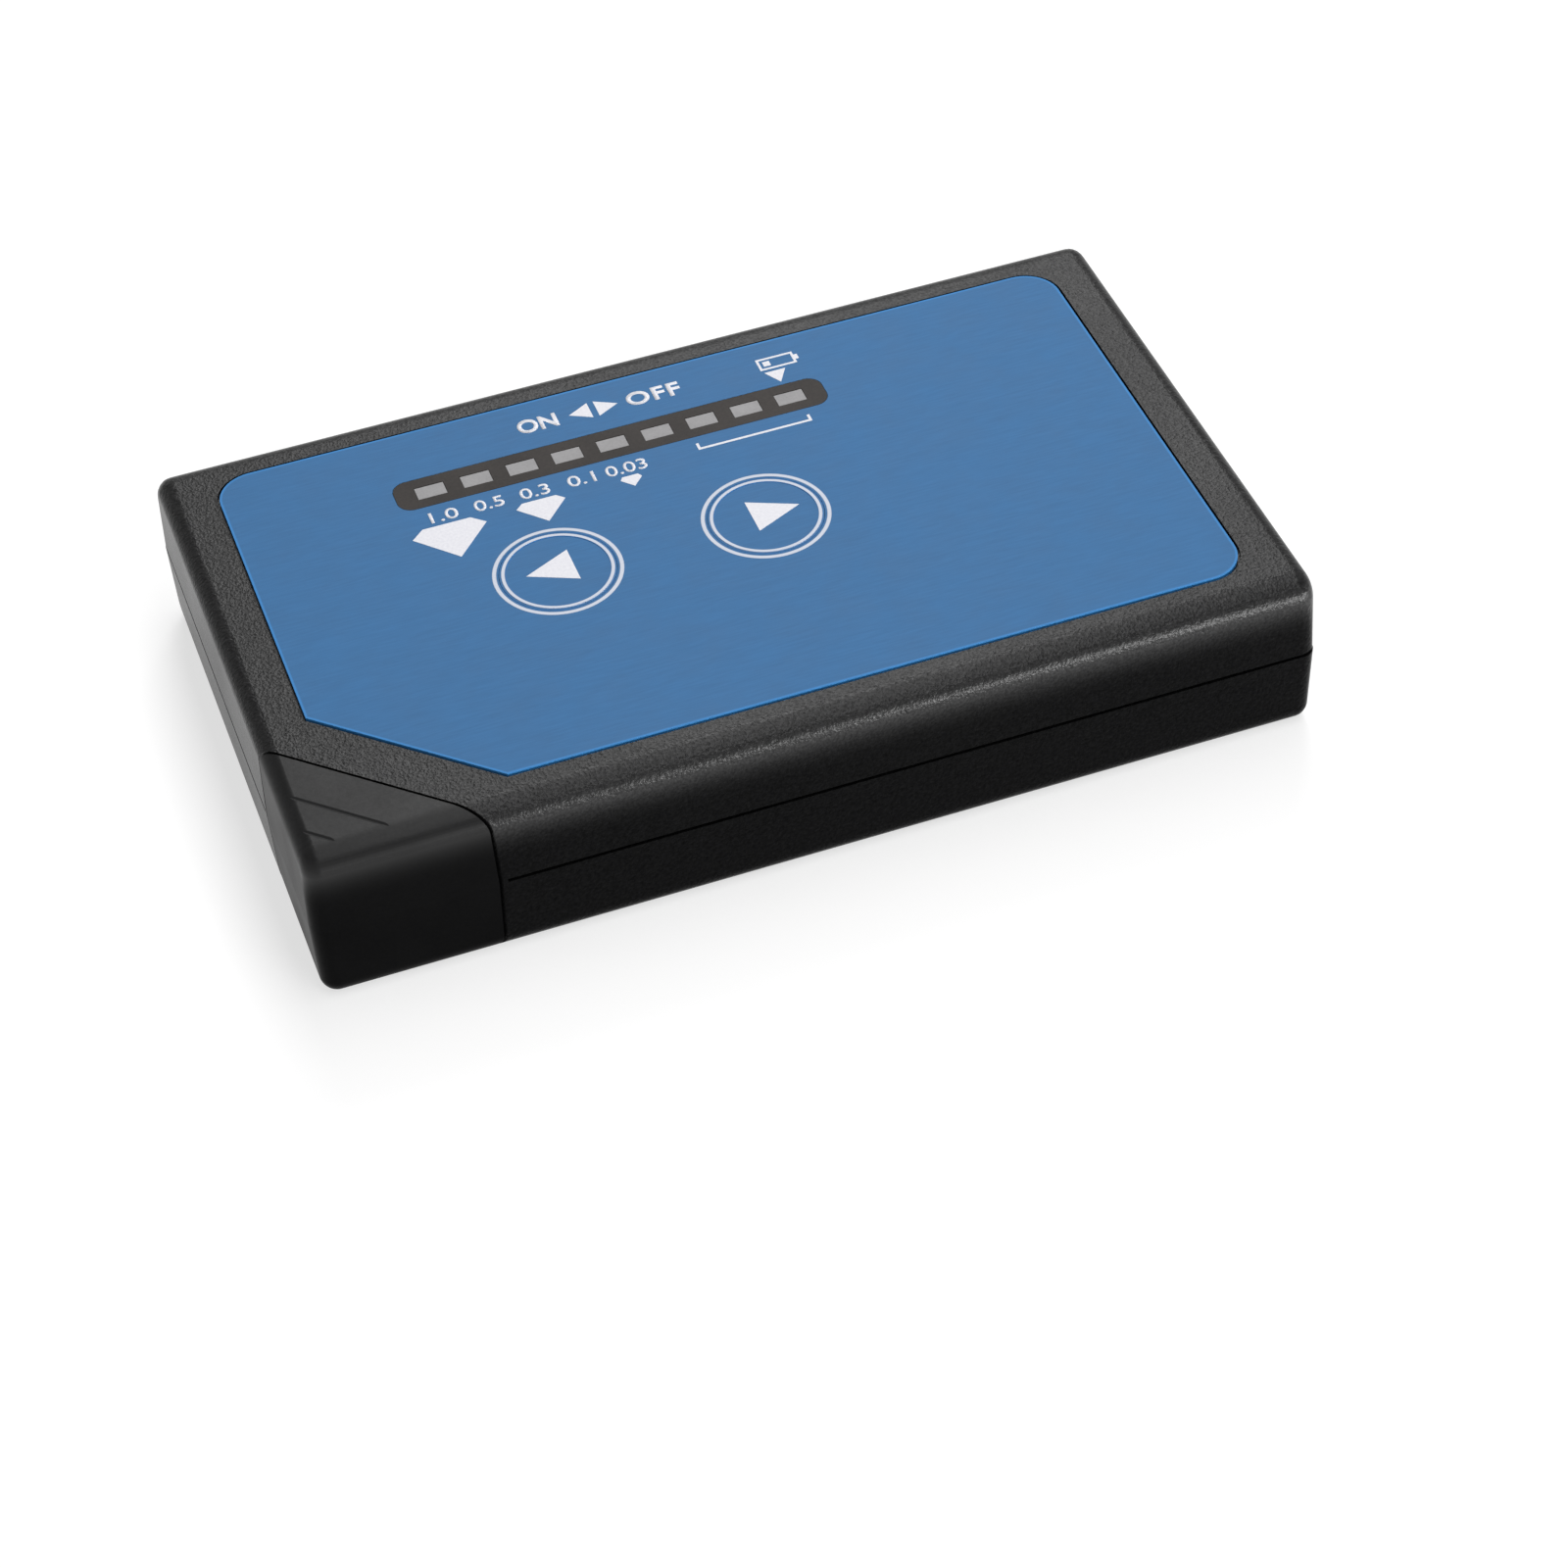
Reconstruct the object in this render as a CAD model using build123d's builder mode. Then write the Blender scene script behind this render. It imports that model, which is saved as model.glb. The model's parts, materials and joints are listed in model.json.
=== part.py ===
from build123d import *
from math import hypot, radians, tan
import os

# A pocket diamond tester: a flat two-part plastic case with a film face panel,
# a row of indicator lights, two keys and a spring probe under a pull-off corner cap.
# Lengths are in millimetres. X runs along the case, Y across it and Z up.
# The origin is on the underside, in the middle of the case.
# The corner cap is at the corner towards -X and -Y.

# Case form, whose length and width are measured at the parting line, where it is widest
draft_angle = 1.5
long_edge_radius = 2.8
end_edge_radius = 1.8
lower_long_edge_radius = 2.2
lower_end_edge_radius = 1.6
side_wall = 1.6
top_wall = 1.1
floor_wall = 1.5
inner_corner_radius = 0.5
overrun = 1.0
sliver = 0.01

# Joint between the two shells
parting_groove_height = 0.4
parting_groove_depth = 0.35
lip_height = 1.2
lip_setback = 0.8
lip_clearance = 0.1
lip_step = 0.1

# Corner cap, its slanting seam and the spigot that it pushes on to
cap_leg_x = 19.2
cap_leg_y = 18.1
case_seam_gap = 0.08
cap_seam_gap = 0.2
seam_wall = 1.6
cap_wall = 1.4
cap_fit = 0.12
spigot_length = 3.2
spigot_wall = 1.1
grip_groove_distance = 5.0
grip_groove_pitch = 3.7
grip_groove_count = 2
grip_groove_width = 0.5
grip_groove_depth = 0.08

# Face panel, a film that lies in a shallow recess and stands a little above its rim
panel_end_border = 5.8
panel_side_border = 4.7
panel_corner_radius = 4.0
panel_cut_margin = 5.4
film_thickness = 0.5
film_stand = 0.1
film_gap = 0.3

# Dark window strip and the nine lights that show in it
window_width = 4.75
window_corner_radius = 1.6
window_border = 10.35
window_ledge = 0.6
window_gap = 0.05
light_count = 9
light_pitch = 5.02
light_end_gap = 2.29
light_length = 3.15
light_width = 1.9
light_setback = 0.05
light_gap = 0.05
light_flange = 0.4
light_flange_thickness = 0.8
light_leg_length = 0.6
light_leg_width = 0.5
light_leg_pitch = 2.0

# Keys
key_radius = 6.08
key_clearance = 0.06
key_wall_clearance = 0.2
key_y = -0.5
on_key_offset = -11.47
off_key_offset = 11.15
key_travel = 0.3
key_flange_width = 0.8
key_flange_thickness = 0.7
key_flange_play = 0.08
key_rim_radius = 5.85
key_rim_width = 0.4
key_rim_height = 0.06

# Circuit board
board_drop = 5.0
board_thickness = 1.6
board_side_gap = 6.0
board_end_gap = 2.6
board_window_gap = 18.91
board_light_gap = 1.81
board_bay_gap = 1.5
board_probe_gap = 15.0
board_hole_clearance = 0.1

# Push switches under the keys
switch_width = 6.0
switch_height = 3.5
switch_cover_inset = 0.25
switch_cover_height = 0.4
plunger_radius = 1.7
plunger_clearance = 0.08
plunger_depth = 1.0
plunger_end_play = 0.2

# Two chips in line packages
chip_width = 6.4
chip_height = 3.3
chip_standoff = 0.5
chip_pin_pitch = 2.54
chip_pin_width = 0.5
chip_pin_thickness = 0.3
chip_row_spacing = 7.62
chip_end_margin = 1.1
driver_pins_per_side = 9
amplifier_pins_per_side = 4
amplifier_chip_end_gap = 7.0
driver_chip_end_gap = 26.0
chip_side_gap = 11.5
chip_dimple_radius = 0.8
chip_dimple_depth = 0.3

# Small parts on the board
resistor_radius = 1.1
resistor_length = 6.2
resistor_lead_width = 0.55
resistor_lead_reach = 1.9
resistor_gap = 0.3
resistor_pitch = 3.2
resistor_count = 5
resistor_key_gap = 10.5
resistor_side_gap = 13.5
trim_pot_width = 6.6
trim_pot_height = 4.4
trim_pot_screw_radius = 1.9
trim_pot_screw_rise = 0.3
trim_pot_slot_width = 0.6
trim_pot_window_gap = 6.2
trim_pot_side_gap = 5.5
capacitor_radius = 2.5
capacitor_height = 7.0
capacitor_edge = 0.4
capacitor_pitch = 7.0
capacitor_offset = 8.3
capacitor_y = 6.0
buzzer_radius = 6.0
buzzer_height = 6.5
buzzer_hole_radius = 1.2
buzzer_hole_depth = 2.0
buzzer_edge = 0.4
buzzer_offset = -7.7
buzzer_y = 8.0

# Posts that hold the board, and the screws that close the case
post_width = 3.6
post_pin_radius = 0.9
post_pin_rise = 1.3
post_inset = 3.6
boss_radius = 2.6
boss_wall_gap = 0.3
screw_head_radius = 2.1
screw_head_height = 1.7
screw_head_depth = 3.0
screw_head_clearance = 0.2
screw_radius = 1.2
screw_clearance = 0.15
screw_thread_clearance = 0.02
screw_length = 12.0
screw_slot_width = 0.7
screw_slot_depth = 0.8
front_screw_gap = 6.6

# Probe, which lies square to the seam at the parting height
nose_radius = 3.3
nose_clearance = 0.08
nose_flange_radius = 4.6
nose_flange_thickness = 1.5
nose_shoulder = 0.7
nose_length = 6.4
nose_end_radius = 1.25
tip_radius = 0.55
tip_clearance = 0.05
tip_reach = 7.7
tip_travel = 1.0
tip_tail = 1.0
tip_collar_radius = 1.4
tip_collar_thickness = 1.0
barrel_radius = 2.6
barrel_bore_radius = 1.5
barrel_length = 9.8
spring_wire_width = 0.32
spring_radius = 1.1
spring_turns = 6
insulator_length = 2.2
insulator_plug_length = 1.2
insulator_clearance = 0.05
cradle_distance = 8.0
cradle_thickness = 1.4
cradle_width = 9.0
cradle_clearance = 0.05

# Battery, a block of standard size that lies across the case
battery_length = 48.5
battery_width = 26.5
battery_thickness = 16.5
battery_corner_radius = 2.5
battery_play = 0.15
battery_head_gap = 0.05
battery_snap_gap = 5.2
battery_end_gap = 1.6
battery_side_gap = 2.9
battery_seam_depth = 0.25
battery_seam_height = 0.5
terminal_spacing = 12.7
terminal_height = 3.0
plus_terminal_radius = 2.9
minus_terminal_radius = 4.1
terminal_clearance = 0.1
snap_width = 25.0
snap_height = 12.0
snap_thickness = 4.4
snap_corner_radius = 1.5

# Battery door, which slides out towards +X
door_thickness = 1.2
door_setback = 0.1
door_clearance = 0.12
door_tongue_thickness = 0.6
door_tongue_reach = 1.2
door_edge_margin = 4.2
door_grip_count = 6
door_grip_pitch = 1.6
door_grip_width = 0.8
door_grip_depth = 0.4
door_grip_length = 18.0
door_grip_margin = 7.0
bay_wall = 1.2
bay_gap = 0.7
rail_height = 1.1
lead_notch_width = 2.4
lead_notch_depth = 5.5

# Leads
lead_radius = 0.65
lead_gap = 0.2
lead_height = 5.4
lead_run = 15.3
probe_lead_radius = 0.6
probe_lead_start = 1.6
probe_lead_run = 4.0
probe_lead_depth = 3.4
bend_share = 0.45

# The battery, with what holds it, sets the height and the width of the case.
# The row of lights, the board that carries it and the battery set its length.
door_top = door_setback + door_thickness
battery_base = door_top + battery_play
case_height = battery_base + battery_thickness + battery_head_gap + top_wall
case_width = (
    2 * side_wall + battery_side_gap + battery_length + snap_thickness + battery_snap_gap
)
window_length = (light_count - 1) * light_pitch + light_length + 2 * light_end_gap
board_length = board_window_gap + window_length + board_light_gap
bay_length = 2 * bay_gap + battery_width + battery_end_gap
case_length = (
    2 * side_wall + board_end_gap + board_length + board_bay_gap + door_tongue_reach + bay_length
)

# Heights and places that follow from the sizes above
parting_height = case_height / 2
half_height = case_height - parting_height
ceiling = case_height - top_wall
film_top = case_height + film_stand
recess_floor = film_top - film_thickness
board_top = ceiling - board_drop
board_underside = board_top - board_thickness
seam_inner = case_seam_gap + seam_wall
panel_length = case_length - 2 * panel_end_border
panel_width = case_width - 2 * panel_side_border
window_y = panel_width / 2 - window_border

# The seam stands upright, square to the way in which the cap pulls off
seam_length = hypot(cap_leg_x, cap_leg_y)
cap_depth = cap_leg_x * cap_leg_y / seam_length
outward = Vector(-cap_leg_y, -cap_leg_x, 0).normalized()
along = Vector(cap_leg_x, -cap_leg_y, 0).normalized()
case_corner = Vector(-case_length / 2, -case_width / 2, 0)
seam_foot = case_corner - outward * cap_depth
seam_plane = Plane(origin=seam_foot, x_dir=along, z_dir=outward)

# The probe's own axis, and a plane through it for turned profiles
probe_centre = seam_foot + Vector(0, 0, parting_height)
probe_axis = Axis(probe_centre, outward)
probe_profile_plane = Plane(origin=probe_centre, x_dir=outward, z_dir=-along)
nose_back = -seam_inner - nose_flange_thickness
barrel_back = nose_back - barrel_length

# Battery bay
battery_x = case_length / 2 - side_wall - battery_end_gap - battery_width / 2
battery_y = -case_width / 2 + side_wall + battery_side_gap + battery_length / 2
battery_top_end = battery_y + battery_length / 2
bay_left = battery_x - battery_width / 2 - bay_gap
bay_right = battery_x + battery_width / 2 + bay_gap
bay_wall_left = bay_left - door_tongue_reach - bay_gap
door_half_width = case_width / 2 - door_edge_margin
tongue_base = door_top - door_tongue_thickness

# Screws, board, window and posts
screw_y = case_width / 2 - side_wall - boss_wall_gap - boss_radius
left_screw_x = -case_length / 2 + side_wall + boss_wall_gap + boss_radius
bay_screw_x = bay_wall_left - boss_radius + bay_wall / 2
front_screw_x = -case_length / 2 + cap_leg_x + front_screw_gap
screw_places = [
    (left_screw_x, screw_y),
    (bay_screw_x, screw_y),
    (bay_screw_x, -screw_y),
    (front_screw_x, -screw_y),
]
board_left = -case_length / 2 + side_wall + board_end_gap
board_right = board_left + board_length
window_x = board_left + board_window_gap + window_length / 2
on_key_x = window_x + on_key_offset
off_key_x = window_x + off_key_offset
board_half_width = case_width / 2 - side_wall - board_side_gap
board_cut_distance = seam_inner + board_probe_gap
post_y = board_half_width - post_inset
post_cut_x = seam_foot.X + (board_cut_distance + 2 * post_inset) / abs(outward.X)
post_places = [
    (board_left + post_inset, post_y),
    (board_right - post_inset, post_y),
    (board_right - post_inset, -post_y),
    (post_cut_x, -post_y),
]
chip_y = chip_side_gap - board_half_width
lead_y = board_half_width - lead_radius - lead_gap

# Places of the keys and the lights
key_places = [(on_key_x, key_y), (off_key_x, key_y)]
light_places = [
    (window_x + (number - (light_count - 1) / 2) * light_pitch, window_y)
    for number in range(light_count)
]


# Shapes that several pieces share


def drafted_block(inset, depth):
    """A plain block with drafted walls that rises from the parting plane."""
    lean = depth * tan(radians(draft_angle))
    half_length = case_length / 2 - inset
    half_width = case_width / 2 - inset
    with BuildPart() as block:
        with BuildSketch(Plane.YZ.offset(-half_length)):
            with BuildLine():
                Polyline(
                    (-half_width, parting_height),
                    (lean - half_width, parting_height + depth),
                    (half_width - lean, parting_height + depth),
                    (half_width, parting_height),
                    close=True,
                )
            make_face()
        extrude(amount=2 * half_length)
        for side in (-1, 1):
            foot = Vector(side * half_length, 0, parting_height)
            split(bisect_by=Plane(origin=foot, z_dir=Vector(side * depth, 0, lean)), keep=Keep.BOTTOM)
    return block.part


def case_half(long_radius, end_radius):
    """Half of the case's outer form, with its long top edges rounder than its ends."""
    with BuildPart() as half:
        add(drafted_block(0, half_height))
        roof = half.faces().sort_by(Axis.Z)[-1]
        fillet(roof.edges().filter_by(Axis.X), long_radius)
        for side in (0, -1):
            end_face = half.faces().sort_by(Axis.X)[side]
            rim = [edge for edge in end_face.edges() if edge.center().Z > parting_height + sliver]
            fillet(rim, end_radius)
    return half.part


def turned_down(form):
    """The same form below the parting plane."""
    with BuildPart() as lower:
        mirror(form, about=Plane.XY.offset(parting_height))
    return lower.part


def case_side(form, setback):
    """What lies on the case's side of the seam, set back from it."""
    with BuildPart() as piece:
        add(form)
        split(bisect_by=seam_plane.offset(-setback), keep=Keep.BOTTOM)
    return piece.part


def plan_prism(inset, base, height, seam_setback):
    """An upright prism on the case's plan, set in on every side."""
    with BuildPart() as prism:
        with BuildSketch(Plane.XY.offset(base)):
            RectangleRounded(
                case_length - 2 * inset,
                case_width - 2 * inset,
                max(end_edge_radius - inset, inner_corner_radius),
            )
        extrude(amount=height)
        split(bisect_by=seam_plane.offset(-seam_setback), keep=Keep.BOTTOM)
    return prism.part


def panel_plate(base, height, growth):
    """The face panel's outline as a plate: three round corners and one cut corner."""
    with BuildPart() as plate:
        with BuildSketch(Plane.XY.offset(base)):
            RectangleRounded(
                panel_length + 2 * growth,
                panel_width + 2 * growth,
                panel_corner_radius + growth,
            )
        extrude(amount=height)
        split(bisect_by=seam_plane.offset(growth - panel_cut_margin), keep=Keep.BOTTOM)
    return plate.part


def spigot_half():
    """Half of the collar on the case that the cap pushes on to."""
    outer_inset = cap_wall + cap_fit
    inner_inset = outer_inset + spigot_wall
    outer = drafted_block(outer_inset, half_height - outer_inset)
    inner = drafted_block(inner_inset, half_height - inner_inset)
    with BuildPart() as spigot:
        add(outer)
        add(inner, mode=Mode.SUBTRACT)
        split(bisect_by=seam_plane.offset(-case_seam_gap), keep=Keep.TOP)
        split(bisect_by=seam_plane.offset(spigot_length), keep=Keep.BOTTOM)
    return spigot.part


def nose_passage():
    """The round way through the seam wall for the probe's nose."""
    with BuildPart() as passage:
        with BuildSketch(seam_plane.offset(-seam_inner - overrun)):
            with Locations((0, parting_height)):
                Circle(nose_radius + nose_clearance)
        extrude(amount=seam_inner + 2 * overrun)
    return passage.part


def probe_cradle(low, high):
    """A rib across the probe with a round notch for its barrel."""
    with BuildPart() as cradle:
        with BuildSketch(seam_plane.offset(-cradle_distance)):
            with Locations((0, (low + high) / 2)):
                Rectangle(cradle_width, high - low)
            with Locations((0, parting_height)):
                Circle(barrel_radius + cradle_clearance, mode=Mode.SUBTRACT)
        extrude(amount=cradle_thickness)
    return cradle.part


# Case


def make_top_shell():
    """Upper half of the case, with the recess, the window slot and the key holes."""
    outer = case_side(case_half(long_edge_radius, end_edge_radius), case_seam_gap)
    inner = case_side(drafted_block(side_wall, half_height - top_wall), seam_inner)
    rebate = plan_prism(
        lip_setback, parting_height, lip_height + lip_clearance, case_seam_gap + lip_setback
    )
    groove_setback = case_seam_gap + parting_groove_depth
    groove_outside = plan_prism(-overrun, parting_height, parting_groove_height, groove_setback)
    groove_inside = plan_prism(
        parting_groove_depth, parting_height, parting_groove_height, groove_setback
    )
    recess = panel_plate(recess_floor, film_thickness + overrun, film_gap)
    spigot = spigot_half()
    passage = nose_passage()
    cradle = probe_cradle(parting_height, ceiling)

    with BuildPart() as groove:
        add(groove_outside)
        add(groove_inside, mode=Mode.SUBTRACT)

    with BuildPart() as top_shell:
        add(outer)
        add(inner, mode=Mode.SUBTRACT)
        add(rebate, mode=Mode.SUBTRACT)
        add(groove.part, mode=Mode.SUBTRACT)
        add(recess, mode=Mode.SUBTRACT)
        add(spigot)
        add(cradle)

        # Bosses for the screws reach down to the parting plane
        with BuildSketch(Plane.XY.offset(parting_height)):
            with Locations(*screw_places):
                Circle(boss_radius)
        extrude(amount=ceiling - parting_height)

        # Posts press on the board from above
        with BuildSketch(Plane.XY.offset(board_top)):
            with Locations(*post_places):
                Rectangle(post_width, post_width)
        extrude(amount=ceiling - board_top)

        # The bay wall keeps the battery off the board
        with BuildSketch(Plane.XY.offset(parting_height)):
            with Locations((bay_wall_left + bay_wall / 2, 0)):
                Rectangle(bay_wall, case_width - 2 * (side_wall + boss_wall_gap))
        extrude(amount=ceiling - parting_height)

        with BuildSketch(Plane.XY.offset(parting_height)):
            with Locations(*screw_places):
                Circle(screw_radius + screw_thread_clearance)
        extrude(amount=ceiling - parting_height - top_wall, mode=Mode.SUBTRACT)

        # Slot under the window strip, which leaves a ledge for it
        with BuildSketch(Plane.XY.offset(ceiling - overrun)):
            with Locations((window_x, window_y)):
                RectangleRounded(
                    window_length - 2 * window_ledge,
                    window_width - 2 * window_ledge,
                    window_corner_radius - window_ledge,
                )
        extrude(amount=top_wall + 2 * overrun, mode=Mode.SUBTRACT)

        with BuildSketch(Plane.XY.offset(ceiling - overrun)):
            with Locations(*key_places):
                Circle(key_radius + key_wall_clearance)
        extrude(amount=top_wall + 2 * overrun, mode=Mode.SUBTRACT)
        add(passage, mode=Mode.SUBTRACT)
    return top_shell


def make_bottom_shell():
    """Lower half of the case, with the lip, the board posts and the battery bay."""
    outer = case_side(
        turned_down(case_half(lower_long_edge_radius, lower_end_edge_radius)), case_seam_gap
    )
    inner = case_side(
        turned_down(drafted_block(side_wall, half_height - floor_wall)), seam_inner
    )
    lip_inset = lip_setback + lip_clearance
    lip_outside = plan_prism(lip_inset, parting_height, lip_height, case_seam_gap + lip_inset)
    lip_inside = plan_prism(
        side_wall - lip_step, parting_height, lip_height, seam_inner - lip_step
    )
    spigot = turned_down(spigot_half())
    passage = nose_passage()
    cradle = probe_cradle(floor_wall, parting_height)
    bay_middle = (bay_left + bay_right) / 2
    bay_half_width = door_half_width - door_clearance
    slot_base = tongue_base - door_clearance
    slot_top = door_top + door_clearance

    with BuildPart() as lip:
        add(lip_outside)
        add(lip_inside, mode=Mode.SUBTRACT)

    with BuildPart() as bottom_shell:
        add(outer)
        add(inner, mode=Mode.SUBTRACT)
        add(lip.part)
        add(spigot)
        add(cradle)

        with BuildSketch(Plane.XY.offset(floor_wall)):
            with Locations(*screw_places):
                Circle(boss_radius)
        extrude(amount=parting_height - floor_wall)

        # Posts carry the board, and their pins pass through it
        with BuildSketch(Plane.XY.offset(floor_wall)):
            with Locations(*post_places):
                Rectangle(post_width, post_width)
        extrude(amount=board_underside - floor_wall)
        with BuildSketch(Plane.XY.offset(board_underside)):
            with Locations(*post_places):
                Circle(post_pin_radius)
        extrude(amount=post_pin_rise)

        # Bay wall, with a sill over the door's tongue
        with BuildSketch(Plane.XY.offset(floor_wall)):
            with Locations((bay_wall_left + bay_wall / 2, 0)):
                Rectangle(bay_wall, case_width - 2 * (side_wall + boss_wall_gap))
        extrude(amount=parting_height - floor_wall)
        with BuildSketch(Plane.XY.offset(floor_wall)):
            with Locations(((bay_wall_left + bay_left) / 2, 0)):
                Rectangle(bay_left - bay_wall_left, case_width - 2 * (side_wall + boss_wall_gap))
        extrude(amount=rail_height)

        # Rails over the door's side tongues
        rail_width = case_width / 2 - side_wall - bay_half_width
        for side in (-1, 1):
            with BuildSketch(Plane.XY.offset(floor_wall)):
                with Locations((bay_middle, side * (bay_half_width + rail_width / 2))):
                    Rectangle(bay_right - bay_wall_left, rail_width)
            extrude(amount=rail_height)

        # Notch in the bay wall for the battery leads
        with BuildSketch(Plane.XY.offset(parting_height - lead_notch_depth)):
            with Locations((bay_wall_left + bay_wall / 2, lead_y)):
                Rectangle(2 * bay_wall, lead_notch_width)
        extrude(amount=lead_notch_depth, mode=Mode.SUBTRACT)

        # Screw holes with sunk heads
        with BuildSketch(Plane.XY):
            with Locations(*screw_places):
                Circle(screw_radius + screw_clearance)
        extrude(amount=parting_height, mode=Mode.SUBTRACT)
        with BuildSketch(Plane.XY):
            with Locations(*screw_places):
                Circle(screw_head_radius + screw_head_clearance)
        extrude(amount=screw_head_depth, mode=Mode.SUBTRACT)

        # The door's slot in the floor: a wide part for its tongues above a narrow one
        slot_end = case_length / 2 + overrun
        slot_left = bay_left - door_clearance
        with BuildSketch(Plane.XY.offset(-overrun)):
            with Locations(((slot_left + slot_end) / 2, 0)):
                Rectangle(slot_end - slot_left, 2 * (door_half_width + door_clearance))
        extrude(amount=overrun + slot_top, mode=Mode.SUBTRACT)
        groove_left = slot_left - door_tongue_reach
        with BuildSketch(Plane.XY.offset(slot_base)):
            with Locations(((groove_left + slot_end) / 2, 0)):
                Rectangle(
                    slot_end - groove_left,
                    2 * (door_half_width + door_tongue_reach + door_clearance),
                )
        extrude(amount=slot_top - slot_base, mode=Mode.SUBTRACT)

        # The way through the floor for the battery
        with BuildSketch(Plane.XY.offset(slot_base)):
            with Locations((bay_middle, 0)):
                Rectangle(bay_right - bay_left, 2 * bay_half_width)
        extrude(amount=floor_wall, mode=Mode.SUBTRACT)
        add(passage, mode=Mode.SUBTRACT)
    return bottom_shell


def make_corner_cap():
    """Hollow cap over the probe, open at the seam and flush with the case, with grip grooves."""
    upper = case_half(long_edge_radius, end_edge_radius)
    lower = turned_down(case_half(lower_long_edge_radius, end_edge_radius))
    upper_hollow = drafted_block(cap_wall, half_height - cap_wall)
    lower_hollow = turned_down(upper_hollow)
    with BuildPart() as corner_cap:
        add(upper)
        add(lower)
        add(upper_hollow, mode=Mode.SUBTRACT)
        add(lower_hollow, mode=Mode.SUBTRACT)
        split(bisect_by=seam_plane.offset(cap_seam_gap), keep=Keep.TOP)

        # Shallow V grooves run across the top, alongside the seam
        groove_slope = grip_groove_width / 2 / grip_groove_depth
        groove_reach = (grip_groove_depth + overrun) * groove_slope
        for number in range(grip_groove_count):
            distance = grip_groove_distance + number * grip_groove_pitch
            with BuildSketch(Plane(origin=seam_foot, x_dir=outward, z_dir=-along)):
                with BuildLine():
                    Polyline(
                        (distance, case_height - grip_groove_depth),
                        (distance + groove_reach, case_height + overrun),
                        (distance - groove_reach, case_height + overrun),
                        close=True,
                    )
                make_face()
            extrude(amount=seam_length, both=True, mode=Mode.SUBTRACT)
    return corner_cap


def make_battery_door():
    """Sliding door: a plate with tongues on three sides and grip grooves underneath."""
    lower_form = turned_down(case_half(lower_long_edge_radius, lower_end_edge_radius))
    door_end = case_length / 2 + overrun
    tongue_left = bay_left - door_tongue_reach
    with BuildPart() as battery_door:
        with BuildSketch(Plane.XY.offset(door_setback)):
            with Locations(((bay_left + door_end) / 2, 0)):
                Rectangle(door_end - bay_left, 2 * door_half_width)
        extrude(amount=door_thickness)
        with BuildSketch(Plane.XY.offset(tongue_base)):
            with Locations(((tongue_left + door_end) / 2, 0)):
                Rectangle(door_end - tongue_left, 2 * (door_half_width + door_tongue_reach))
        extrude(amount=door_tongue_thickness)
        add(lower_form, mode=Mode.INTERSECT)
        grip_x = case_length / 2 - door_grip_margin - door_grip_count * door_grip_pitch / 2
        with BuildSketch(Plane.XY.offset(door_setback)):
            with Locations((grip_x, 0)):
                with GridLocations(door_grip_pitch, 0, door_grip_count, 1):
                    Rectangle(door_grip_width, door_grip_length)
        extrude(amount=door_grip_depth, mode=Mode.SUBTRACT)
    return battery_door


def make_case_screws():
    """Four pan-head screws that go in from below."""
    with BuildPart() as case_screws:
        with BuildSketch(Plane.XY.offset(screw_head_depth - screw_head_height)):
            with Locations(*screw_places):
                Circle(screw_head_radius)
        extrude(amount=screw_head_height)
        with BuildSketch(Plane.XY.offset(screw_head_depth)):
            with Locations(*screw_places):
                Circle(screw_radius)
        extrude(amount=screw_length)
        with BuildSketch(Plane.XY.offset(screw_head_depth - screw_head_height)):
            with Locations(*screw_places):
                Rectangle(2 * screw_head_radius, screw_slot_width)
                Rectangle(screw_slot_width, 2 * screw_head_radius)
        extrude(amount=screw_slot_depth, mode=Mode.SUBTRACT)
    return case_screws


# Face


def make_face_panel():
    """Film over the top, with a slot for the window and two round key openings."""
    plate = panel_plate(recess_floor, film_thickness, 0)
    with BuildPart() as face_panel:
        add(plate)
        with BuildSketch(Plane.XY.offset(recess_floor)):
            with Locations((window_x, window_y)):
                RectangleRounded(
                    window_length + 2 * window_gap,
                    window_width + 2 * window_gap,
                    window_corner_radius + window_gap,
                )
            with Locations(*key_places):
                Circle(key_radius + key_clearance)
        extrude(amount=film_thickness, mode=Mode.SUBTRACT)
    return face_panel


def make_led_window():
    """Dark strip with an opening for each light."""
    with BuildPart() as led_window:
        with BuildSketch(Plane.XY.offset(recess_floor)):
            with Locations((window_x, window_y)):
                RectangleRounded(window_length, window_width, window_corner_radius)
            with Locations(*light_places):
                Rectangle(
                    light_length + 2 * light_gap,
                    light_width + 2 * light_gap,
                    mode=Mode.SUBTRACT,
                )
        extrude(amount=film_thickness)
    return led_window


def make_light(place):
    """One rectangular light: two legs, a flange and a tall flat-topped body."""
    x, y = place
    flange_base = board_top + light_leg_length
    with BuildPart() as light:
        with BuildSketch(Plane.XY.offset(flange_base)):
            with Locations((x, y)):
                Rectangle(light_length + 2 * light_flange, light_width + 2 * light_flange)
        extrude(amount=light_flange_thickness)
        with BuildSketch(Plane.XY.offset(flange_base + light_flange_thickness)):
            with Locations((x, y)):
                Rectangle(light_length, light_width)
        extrude(amount=film_top - light_setback - flange_base - light_flange_thickness)
        with BuildSketch(Plane.XY.offset(board_top)):
            with Locations((x, y)):
                with GridLocations(light_leg_pitch, 0, 2, 1):
                    Rectangle(light_leg_width, light_leg_width)
        extrude(amount=light_leg_length)
    return light


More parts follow.
